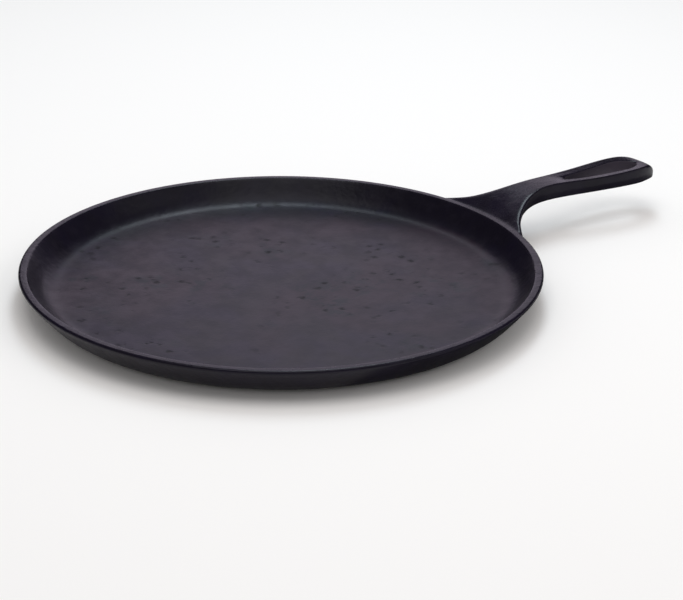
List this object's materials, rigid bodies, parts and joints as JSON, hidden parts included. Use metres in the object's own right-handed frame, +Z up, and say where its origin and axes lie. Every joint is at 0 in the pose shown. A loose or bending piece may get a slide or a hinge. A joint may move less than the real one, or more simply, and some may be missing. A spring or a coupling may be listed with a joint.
{
  "type": "round griddle",
  "caption": "Round cast iron griddle: shallow pan with a low flared wall and a flat rim, and a long raised handle that ends in a teardrop hanging hole.",
  "frame": {"origin": "centre of the flat base, on the surface that the griddle stands on", "axes": "+Z up along the pan's axis, +X from the pan's centre along the handle"},
  "size_m": [0.3832, 0.2666, 0.0294],
  "materials": {
    "seasoned_iron": "oil-seasoned, satin black"
  },
  "bodies": {
    "root": {"griddle_casting": "seasoned_iron"}
  },
  "joints": []
}
